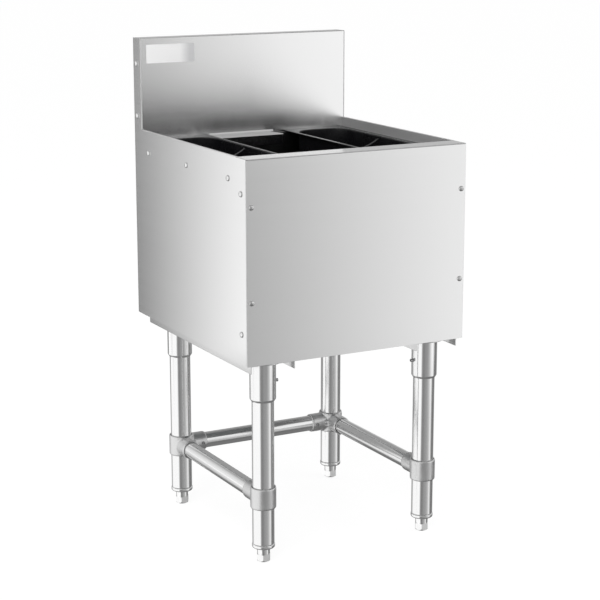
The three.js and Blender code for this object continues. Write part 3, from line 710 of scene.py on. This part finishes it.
def rivet_places():
    """Where the rivets of one side panel stand, in Y and Z"""
    low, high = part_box("left_side_panel")
    front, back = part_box("front_panel")[0].y, high.y
    body_low, body_high = low.z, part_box("front_rim")[1].z
    depth, height, rise_behind = back - front, body_high - body_low, high.z - body_high
    below_top, behind_front, before_back = 0.042, 0.0215, 0.0148
    top = [(front + share * depth, body_high - below_top) for share in (0.147, 0.507, 0.866)]
    corner = [(front + behind_front, body_low + share * height) for share in (0.15, 0.83)]
    ear = [(back - before_back, body_high + share * rise_behind) for share in (0.146, 0.72)]
    return top + corner + ear


class ICEBIN_OT_rivets(bpy.types.Operator):
    """Adds the domed rivet heads of both side panels"""
    bl_idname = "icebin.rivets"
    bl_label = "Rivets"

    def execute(self, context):
        settings = context.scene.bin_sheet
        radius, gap, rim = settings.rivet_radius, 0.00005, 0.0005
        outline = [(0, gap), (radius, gap), (radius, rim)] + dome(radius, settings.rivet_height, rim, 18, 4)
        faces = {"left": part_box("left_side_panel")[0].x, "right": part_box("right_side_panel")[1].x}
        for side, x in faces.items():
            heads = [turned(outline, (x, y, z), 28, (math.copysign(1, x), 0, 0)) for y, z in rivet_places()]
            dress(shade(join(heads), 40, weighted=False), side + "_rivets", "rivet")
        return {"FINISHED"}


def panel_screw(centre, aim, radius, height, roll):
    """A domed screw head with a cross recess, standing out along aim"""
    sunk, rim = -0.0003, 0.0002
    outline = [(0, sunk), (radius, sunk), (radius, rim)] + dome(radius, height, rim, 13, 6)
    head = turned(outline, (0, 0, 0), 40)
    blades = []
    for turn in (0, math.pi / 2):
        blade = block((0, 0, height + 0.0006), (radius * 1.1, radius * 0.19, height * 1.6))
        blade.data.transform(Matrix.Rotation(turn + roll, 4, "Z"))
        blades.append(blade)
    combine(head, blades)
    clean(head, gap=1e-7)
    bevel(head, 0.00012, segments=1, angle=50)
    return shade(aimed(head, centre, aim), 35, weighted=False)


class ICEBIN_OT_panel_screws(bpy.types.Operator):
    """Makes the cross-head screws of the front panel"""
    bl_idname = "icebin.panel_screws"
    bl_label = "Panel screws"

    def execute(self, context):
        for count, corner in enumerate(("lower_left", "lower_right", "upper_left", "upper_right")):
            node = corner + "_screw"
            low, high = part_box(node)
            centre = ((low.x + high.x) / 2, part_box("front_panel")[0].y - 0.0003, (low.z + high.z) / 2)
            radius, roll = (high.z - low.z) / 2 + 0.0006, 0.4 + 0.7 * count
            screw = panel_screw(centre, (0, -1, 0), radius, height=0.0026, roll=roll)
            shank = turned(rod(0.0019, 0.0, 0.0118, edge=0.0004), centre, 20, (0, 1, 0))
            screw = shade(join([screw, shank]), 35, weighted=False)
            dress(screw, node + "_head", "bright_screw", [node])
        return {"FINISHED"}


class ICEBIN_OT_wells(bpy.types.Operator):
    """Softens the lips of the two black bottle wells"""
    bl_idname = "icebin.wells"
    bl_label = "Bottle wells"

    def execute(self, context):
        for node in ("left_bottle_well", "right_bottle_well"):
            well = soften(copy_of(node), context.scene.bin_wells.lip, angle=50)
            dress(well, node + "_moulding", "black", [node], node)
        return {"FINISHED"}


class ICEBIN_OT_drain(bpy.types.Operator):
    """Makes the turned drain fitting, its lock nut and its strainer"""
    bl_idname = "icebin.drain"
    bl_label = "Drain"

    def execute(self, context):
        low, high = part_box("drain_body")
        bore, pipe, flange = 0.013, 0.0167, half_width("drain_body")
        edge, shoulder = 0.0006, high.z - 0.003
        outline = [(bore, low.z + edge), (bore + edge, low.z), (pipe - edge, low.z), (pipe, low.z + edge)]
        below_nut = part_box("drain_locknut")[0].z - 0.0008
        outline += thread(pipe, low.z + 0.003, below_nut, pitch=0.0018, depth=0.0009)
        outline += [(pipe, shoulder), (flange - 0.0008, shoulder), (flange, high.z - 0.0022),
                    (flange - 0.001, high.z), (bore + 0.002, high.z), (bore, high.z - 0.0015)]
        centre = middle("drain_body")
        fitting = shade(turned(outline, (centre.x, centre.y, 0), 72), 30, weighted=False)
        dress(fitting, "drain_fitting", "tube", ["drain_body"])
        nut = soften(copy_of("drain_locknut"), 0.0007)
        dress(nut, "drain_nut", "tube", ["drain_locknut"])
        strainer = soften(copy_of("drain_strainer"), 0.0003)
        dress(strainer, "strainer_disc", "tube", ["drain_strainer"], "drain_strainer")
        return {"FINISHED"}


class ICEBIN_OT_plain_nodes(bpy.types.Operator):
    """Gives the pieces that keep their CAD shape their own finish"""
    bl_idname = "icebin.plain_nodes"
    bl_label = "Foam, gasket and label"

    def execute(self, context):
        for node, finish in (("insulation", "foam"), ("drain_gasket", "rubber"), ("label_plate", "label")):
            coat(NODES[node], finish)
        return {"FINISHED"}


# The stand

# The gap between a tube and what it sits in
PLAY = 0.0003
# The radii of a set screw and of its hole
SET_SCREW, SCREW_HOLE = 0.003, 0.0033
# From a leg's axis to the outer end of the boss on a corner fitting
BOSS_REACH = 0.0305


class ICEBIN_OT_tubes(bpy.types.Operator):
    """Turns the legs and the cross rails"""
    bl_idname = "icebin.tubes"
    bl_label = "Legs and rails"

    def execute(self, context):
        settings = context.scene.bin_stand
        for place in PLACES:
            node = place + "_leg"
            low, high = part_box(node)
            self.tube(node, half_width(node), high.z - low.z, (0, 0, 1), settings, wall=0.0015)
        for node, axis in (("left_rail", (0, 1, 0)), ("right_rail", (0, 1, 0)), ("rear_rail", (1, 0, 0))):
            low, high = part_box(node)
            size = high - low
            length = size.y if axis[1] else size.x
            self.tube(node, size.z / 2, length, axis, settings, wall=0.0012, finish="rail")
        return {"FINISHED"}

    def tube(self, node, radius, length, axis, settings, wall, finish="tube"):
        edge, half = settings.tube_edge, length / 2
        outline = [(radius - wall, -half + edge), (radius - wall + edge, -half), (radius - edge, -half),
                   (radius, -half + edge), (radius, half - edge), (radius - edge, half),
                   (radius - wall + edge, half), (radius - wall, half - edge)]
        piece = shade(turned(outline, middle(node), settings.sides, axis), 50)
        dress(piece, node + "_tube", finish, [node])


class ICEBIN_OT_sockets(bpy.types.Operator):
    """Turns the leg sockets, with their rolled lower lips and screw holes"""
    bl_idname = "icebin.sockets"
    bl_label = "Leg sockets"

    def execute(self, context):
        settings = context.scene.bin_stand
        for place in PLACES:
            node = place + "_socket"
            low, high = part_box(node)
            bore = half_width(place + "_leg") + PLAY
            radius, flange = bore + 0.0035, half_width(node)
            small, lip, fillet, step, plate = 0.0008, 0.0045, 0.0025, 0.0055, 0.0022
            # From the leg's axis to the inner end of the screw hole, and the hole's length
            hole_start, hole_length = 0.018, 0.012
            outline = [(bore, low.z + 0.001)]
            outline += arc(bore + small, low.z + small, small, 200, 270, 3)
            outline += arc(radius - lip, low.z + step, lip, -58, 0, 7)
            outline += [(radius, high.z - step)]
            outline += arc(radius + fillet, high.z - step, fillet, 180, 90, 5)
            outline += arc(flange - small, high.z - plate, small, -90, 0, 3)
            outline += [(flange, high.z), (bore, high.z)]
            centre, screw, inward = middle(node), middle(place + "_socket_screw"), INWARD[place]
            socket = turned(outline, (centre.x, centre.y, 0), settings.sides)
            start = (centre.x + inward * hole_start, screw.y, screw.z)
            combine(socket, [turned(rod(SCREW_HOLE, 0.0, hole_length), start, 24, (inward, 0, 0))])
            dress(shade(socket, 35), node + "_turned", "tube", [node])
        return {"FINISHED"}


def set_screw(start, end, radius):
    """A set screw with a hexagon recess in its outer end"""
    length = (end - start).length
    body = turned(rod(radius, 0.0, length, edge=0.0004), (0, 0, 0), 28)
    combine(body, [hexagon(radius * 0.56, 0.005, length)])
    clean(body, gap=1e-7)
    return shade(aimed(body, start, end - start), 35, weighted=False)


class ICEBIN_OT_set_screws(bpy.types.Operator):
    """Makes the socket-head set screws of the sockets and fittings"""
    bl_idname = "icebin.set_screws"
    bl_label = "Set screws"

    def execute(self, context):
        for place in PLACES:
            self.straight(place + "_socket_screw", 0, INWARD[place])
            self.straight(place + "_side_screw", 2, -1)
            if place.startswith("rear"):
                self.straight(place + "_rear_screw", 1, -1)
                node, leg = place + "_leg_screw", middle(place + "_leg")
                centre = middle(node)
                aim = Vector((INWARD[place], -1, 0)).normalized()
                half = BOSS_REACH - (centre - Vector((leg.x, leg.y, centre.z))).length
                self.add(node, centre - aim * half, centre + aim * half)
        return {"FINISHED"}

    def straight(self, node, axis, outward):
        """The set screw that fills its node's box along X, Y or Z, with its recess on the outward side"""
        low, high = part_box(node)
        start, end = (low + high) / 2, (low + high) / 2
        start[axis], end[axis] = (low[axis], high[axis]) if outward > 0 else (high[axis], low[axis])
        self.add(node, start, end)

    def add(self, node, start, end):
        dress(set_screw(start, end, SET_SCREW), node + "_turned", "screw", [node])


class ICEBIN_OT_fittings(bpy.types.Operator):
    """Casts the tees and corner fittings, with fillets where their branches meet"""
    bl_idname = "icebin.fittings"
    bl_label = "Rail fittings"

    def execute(self, context):
        for place in PLACES:
            self.fitting(place, context.scene.bin_stand)
        return {"FINISHED"}

    def fitting(self, place, settings):
        rear = place.startswith("rear")
        node = place + ("_corner" if rear else "_tee")
        low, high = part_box(node)
        leg, half = middle(place + "_leg"), (high.z - low.z) / 2
        axis, bore = Vector((leg.x, leg.y, middle(node).z)), half_width(place + "_leg") + PLAY
        sleeve, branch, branch_bore, reach, boss_radius = bore + 0.0033, 0.0188, 0.0162, 0.051, 0.0062
        inward = Vector((INWARD[place], 0, 0))
        boss = (inward + Vector((0, -1, 0))).normalized()
        aims = [Vector((0, -1 if rear else 1, 0))] + ([inward] if rear else [])
        casting = turned(rod(sleeve, -half, half, edge=0.0012), axis, 72)
        arms = [turned(rod(branch, 0.0, reach, edge=0.001), axis, 72, aim) for aim in aims]
        if rear:
            arms.append(turned(rod(boss_radius, 0.0, BOSS_REACH, edge=0.0006), axis, 32, boss))
        combine(casting, arms, "UNION")
        modify(casting, "REMESH", mode="VOXEL", voxel_size=settings.casting_grain, use_smooth_shade=True)
        modify(casting, "SMOOTH", factor=0.5, iterations=settings.fillet_rounds)
        flare, beyond, deep = 0.0013, 0.01, bore + 0.001
        mouth = branch_bore + flare
        cutters = [turned([(0, -half - beyond), (bore + flare, -half - beyond), (bore + flare, -half),
                           (bore, -half + flare), (bore, half - flare * 1.4), (bore + flare, half),
                           (bore + flare, half + beyond), (0, half + beyond)], axis, 96)]
        for aim in aims:
            hollow = [(0, deep), (branch_bore, deep), (branch_bore, reach - 0.0012),
                      (mouth, reach), (mouth, reach + beyond), (0, reach + beyond)]
            cutters.append(turned(hollow, axis, 96, aim))
        hole, screws = rod(SCREW_HOLE, -0.007, 0.012), [("_side_screw", (0, 0, -1))]
        if rear:
            screws += [("_rear_screw", (0, -1, 0)), ("_leg_screw", boss)]
        for screw, aim in screws:
            cutters.append(turned(hole, middle(place + screw), 24, aim))
        combine(casting, cutters)
        dress(shade(casting, 42, weighted=False), node + "_casting", "casting", [node])


class ICEBIN_OT_feet(bpy.types.Operator):
    """Makes the leg inserts and the adjustable feet"""
    bl_idname = "icebin.feet"
    bl_label = "Inserts and feet"

    def execute(self, context):
        settings = context.scene.bin_stand
        for place in PLACES:
            self.insert(place, settings)
            self.foot(place)
        return {"FINISHED"}

    def insert(self, place, settings):
        node = place + "_insert"
        low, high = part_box(node)
        centre, radius, top = middle(node), half_width(node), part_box(place + "_leg")[0].z - PLAY
        bead, shoulder, bore, plug, edge = 0.0034, 0.0022, 0.00825, 0.01885, 0.0008
        outline = [(bore, low.z + edge), (bore + edge, low.z)]
        outline += arc(radius - bead, low.z + bead, bead, -90, 0, 6)
        outline += arc(radius - shoulder, top - shoulder, shoulder, 0, 90, 5)
        outline += [(plug, top), (plug, high.z - 0.001), (plug - 0.001, high.z), (bore, high.z)]
        piece = shade(turned(outline, (centre.x, centre.y, 0), settings.sides), 40)
        dress(piece, node + "_plug", "tube", [node])

    def foot(self, place):
        node = place + "_foot"
        low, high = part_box(node)
        leg, collar = middle(place + "_leg"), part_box(place + "_insert")[0].z - PLAY
        flats, barrel, stud, edge = high.y - low.y, 0.0121, 0.00795, 0.0008
        corner, top = flats / math.sqrt(3), 0.0156
        seat = top - 0.0012
        nut = hexagon(corner - 0.0001, top, top / 2)
        nut.data.transform(Matrix.Rotation(math.pi / 6 if high.x - low.x > flats else 0, 4, "Z"))
        chamfered = [(0, 0), (corner - 0.0048, 0), (corner - 0.0018, 0.0018), (corner, 0.0046),
                     (corner, seat), (corner - 0.0024, top), (0, top)]
        combine(nut, [turned(chamfered, (0, 0, 0), 72)], "INTERSECT")
        outline = [(0, seat), (barrel, seat), (barrel, collar - edge),
                   (barrel - edge, collar), (stud, collar)]
        outline += thread(stud, collar + 0.001, high.z - 0.001, pitch=0.002, depth=0.0009)
        outline += [(stud - 0.001, high.z), (0, high.z)]
        combine(nut, [turned(outline, (0, 0, 0), 64)], "UNION")
        nut.data.transform(Matrix.Translation((leg.x, leg.y, 0)))
        bevel(nut, 0.0003, segments=2, angle=32)
        dress(shade(nut, 35), node + "_turned", "foot", [node], node)


# The floor, the light and the camera

# What metal sees of the studio: angles in plan, in degrees from straight in front towards +X, each with a
# grey level

# Below the horizon
WALLS = (
    (-180, 0.40), (-163, 0.42), (-153, 0.75), (-143, 1.12), (-58, 1.15), (-52, 0.60), (-46, 0.26),
    (-38, 0.205), (-28, 0.235), (-16, 0.32), (-4, 0.37), (8, 0.41), (25, 0.50), (37, 0.68), (48, 0.98),
    (54, 0.95), (62, 0.50), (72, 0.21), (87, 0.17), (102, 0.22), (132, 0.35), (180, 0.40),
)
# Towards the ground
GROUND = (
    (-180, 0.18), (-155, 0.25), (-135, 0.85), (-62, 0.85), (-45, 0.35), (5, 0.20), (60, 0.16), (180, 0.18),
)
# At the horizon
SKYLINE = (
    (-180, 0.55), (-163, 0.60), (-150, 0.95), (-60, 1.0), (-30, 0.50), (8, 0.30), (18, 0.38), (22.5, 0.52),
    (25, 0.98), (27, 1.10), (70, 1.10), (100, 0.70), (135, 0.60), (165, 0.60), (180, 0.50),
)
# Above it
UPPER = (
    (-180, 0.34), (-172, 0.36), (-155, 0.80), (-146, 0.92), (-60, 1.0), (-30, 0.60), (0, 0.45), (14, 0.70),
    (22, 0.98), (42, 0.98), (58, 0.55), (100, 0.60), (128, 0.75), (145, 0.36), (180, 0.34),
)
# The floor in front of the bin, seen from the front panel's mirrored eye
FRONT_CARD = (
    (0, 0.27), (12, 0.28), (21, 0.30), (26.7, 0.545), (30, 0.79), (33.7, 1.03), (37, 1.15), (41, 1.08),
    (50, 0.80), (62, 0.62), (80, 0.55),
)
# The floor behind and to the left, seen from the left side's mirrored eye
SIDE_CARD = (
    (0, 0.02), (18, 0.02), (21.8, 0.05), (24.3, 0.68), (26.6, 1.23), (30, 1.24), (40, 0.95), (55, 0.7),
    (80, 0.6),
)
# Where the camera stands in plan once the front panel or the left side has mirrored it
FRONT_EYE, SIDE_EYE = (-1.55, 2.405), (1.088, -2.893)


class ICEBIN_OT_stage(bpy.types.Operator):
    """Lays the floor, hangs the soft lights and sets the camera"""
    bl_idname = "icebin.stage"
    bl_label = "Stage"

    def execute(self, context):
        settings = context.scene.bin_stage
        self.floor(settings)
        self.flag()
        self.world(context.scene)
        self.lamp("key_light", (-2.2, -2.0, 3.0), (0, 0, 0.45), settings.key_watts, size=2.4)
        self.lamp("fill_light", (2.6, -1.6, 2.4), (0, 0, 0.4), settings.fill_watts, size=2.0)
        self.camera(context.scene, settings)
        context.scene.view_settings.view_transform = "Standard"
        return {"FINISHED"}

    def floor(self, settings):
        """White with the bin's soft shadow where the camera sees it, two grey cards where metal does"""
        deselect()
        bpy.ops.mesh.primitive_circle_add(
            vertices=96, radius=40.0, fill_type="NGON", location=(0, 0, -0.0005))
        floor = settle(bpy.context.object)
        floor.name = "floor"
        material = bpy.data.materials.new("pale_floor")
        tree = bare_tree(material)
        matte = add(tree, "ShaderNodeBsdfDiffuse", {"Color": settings.floor}).outputs["BSDF"]
        lit = add(tree, "ShaderNodeEmission", {"Strength": settings.floor_glow}).outputs["Emission"]
        cards, shown = self.cards(tree)
        glow = add(tree, "ShaderNodeEmission", {"Color": cards}).outputs["Emission"]
        through = add(tree, "ShaderNodeBsdfTransparent", {}).outputs["BSDF"]
        camera_ray, metal_ray = sight(tree)
        seen = blend_shaders(tree, camera_ray, matte, blend_shaders(tree, settings.floor_share, matte, lit))
        surface = blend_shaders(tree, metal_ray, seen, blend_shaders(tree, shown, through, glow))
        add(tree, "ShaderNodeOutputMaterial", {"Surface": surface})
        floor.data.materials.append(material)

    def cards(self, tree):
        """The greys of both cards and where they show. Elsewhere metal sees the world through the floor"""
        # In metres: how far from the bin's middle both cards begin and the front one ends
        begin, end = (1.3, 1.5), (9.0, 7.0)
        # The front card lies ahead and right of a slanted line, the side card to the left and behind
        ahead, slant, past_line = (-0.6, -0.9), 0.25, (0.0, 0.15)
        leftward, backward = (-0.2, -0.5), (0.3, 0.6)
        point = whereabouts(tree)
        x, y = split_up(tree, point)[:2]
        across, forth = number(tree, "SUBTRACT", x, FRONT_EYE[0]), number(tree, "SUBTRACT", FRONT_EYE[1], y)
        front = grey_by_angle(tree, across, forth, FRONT_CARD)
        side = grey_by_angle(tree, number(tree, "SUBTRACT", SIDE_EYE[0], x),
                             number(tree, "SUBTRACT", y, SIDE_EYE[1]), SIDE_CARD)
        reach = add(tree, "ShaderNodeVectorMath", {0: point}, operation="LENGTH").outputs["Value"]
        beside = number(tree, "SUBTRACT", across, times(tree, forth, slant))
        on_front = times(
            tree, rise(tree, y, *ahead), rise(tree, beside, *past_line), rise(tree, reach, *end))
        on_side = times(tree, rise(tree, x, *leftward), rise(tree, y, *backward))
        shown = times(tree, rise(tree, reach, *begin), number(tree, "MAXIMUM", on_front, on_side))
        return blend_colours(tree, on_side, front, side), shown

    def flag(self):
        """A grey board behind the stand that only metal sees"""
        deselect()
        bpy.ops.mesh.primitive_plane_add(size=1.0, location=(0.02, 0.5, 0.26), rotation=(math.pi / 2, 0, 0))
        flag = bpy.context.object
        flag.scale = (0.54, 0.52, 1.0)
        settle(flag)
        flag.name = "grey_board"
        material = bpy.data.materials.new("grey_board")
        tree = bare_tree(material)
        glow = add(tree, "ShaderNodeEmission", {"Color": 0.35})
        add(tree, "ShaderNodeOutputMaterial", {"Surface": glow.outputs["Emission"]})
        flag.data.materials.append(material)
        for rays in ("visible_camera", "visible_diffuse", "visible_transmission", "visible_shadow"):
            setattr(flag, rays, False)

    def world(self, scene):
        """White to the camera, one grey to matt faces, and the studio's bands of grey to metal"""
        scene.world = bpy.data.worlds.new("studio")
        tree = bare_tree(scene.world)
        x, y, z = split_up(tree, whereabouts(tree, "Generated"))
        ahead = times(tree, y, -1.0)
        ground, walls, skyline, upper = [
            grey_by_angle(tree, x, ahead, table) for table in (GROUND, WALLS, SKYLINE, UPPER)]
        # Upwards from straight down: the heights between which each band takes over from the one below it
        bands = 0.20
        for start, end, band in (
                (-0.80, -0.70, ground), (-0.50, -0.42, walls), (-0.150, -0.108, skyline),
                (0.18, 0.27, upper), (0.60, 0.72, 0.20), (0.82, 0.90, 0.50)):
            bands = blend_colours(tree, rise(tree, z, start, end), bands, band)
        white, room, studio = [
            add(tree, "ShaderNodeBackground", {"Color": light}).outputs["Background"]
            for light in (1.0, 0.62, bands)]
        camera_ray, metal_ray = sight(tree)
        shown = blend_shaders(tree, camera_ray, blend_shaders(tree, metal_ray, room, studio), white)
        add(tree, "ShaderNodeOutputWorld", {"Surface": shown})

    def lamp(self, name, place, target, watts, size):
        lamp = bpy.data.lights.new(name, "AREA")
        lamp.energy, lamp.size = watts, size
        lamp_object = bpy.data.objects.new(name, lamp)
        bpy.context.scene.collection.objects.link(lamp_object)
        lamp_object.location = place
        lamp_object.rotation_euler = (Vector(target) - Vector(place)).to_track_quat("-Z", "Y").to_euler()
        lamp_object.visible_glossy = False

    def camera(self, scene, settings):
        camera = bpy.data.cameras.new("camera")
        camera.lens, camera.sensor_width = settings.lens, 36.0
        camera_object = bpy.data.objects.new("camera", camera)
        scene.collection.objects.link(camera_object)
        camera_object.location = settings.camera_place
        camera_object.rotation_euler = (math.pi / 2 - settings.pitch, 0.0, -settings.azimuth)
        scene.camera = camera_object


OPERATORS = (
    ICEBIN_OT_panels, ICEBIN_OT_rivets, ICEBIN_OT_panel_screws, ICEBIN_OT_wells, ICEBIN_OT_drain,
    ICEBIN_OT_plain_nodes, ICEBIN_OT_tubes, ICEBIN_OT_sockets, ICEBIN_OT_set_screws, ICEBIN_OT_fittings,
    ICEBIN_OT_feet, ICEBIN_OT_stage,
)
GROUPS = {"bin_sheet": SheetSettings, "bin_stand": FittingSettings,
          "bin_wells": WellSettings, "bin_stage": StageSettings}


class ICEBIN_PT_panel(bpy.types.Panel):
    """Lists the steps that finish the bin"""
    bl_idname = "ICEBIN_PT_panel"
    bl_label = "Underbar ice bin"
    bl_space_type = "VIEW_3D"
    bl_region_type = "UI"
    bl_category = "Ice bin"

    def draw(self, context):
        for settings in GROUPS:
            group = getattr(context.scene, settings)
            box = self.layout.box()
            for name in group.__annotations__:
                box.prop(group, name)
        for operator in OPERATORS:
            self.layout.operator(operator.bl_idname)


def register():
    for name, group in GROUPS.items():
        bpy.utils.register_class(group)
        setattr(bpy.types.Scene, name, bpy.props.PointerProperty(type=group))
    for operator in OPERATORS:
        bpy.utils.register_class(operator)
    bpy.utils.register_class(ICEBIN_PT_panel)


def unregister():
    bpy.utils.unregister_class(ICEBIN_PT_panel)
    for operator in reversed(OPERATORS):
        bpy.utils.unregister_class(operator)
    for name, group in GROUPS.items():
        delattr(bpy.types.Scene, name)
        bpy.utils.unregister_class(group)


def main():
    register()
    make_finishes(bpy.context.scene)
    for step in ("panels", "rivets", "panel_screws", "wells", "drain", "plain_nodes",
                 "tubes", "sockets", "set_screws", "fittings", "feet", "stage"):
        getattr(bpy.ops.icebin, step)()


if __name__ == "__main__":
    main()
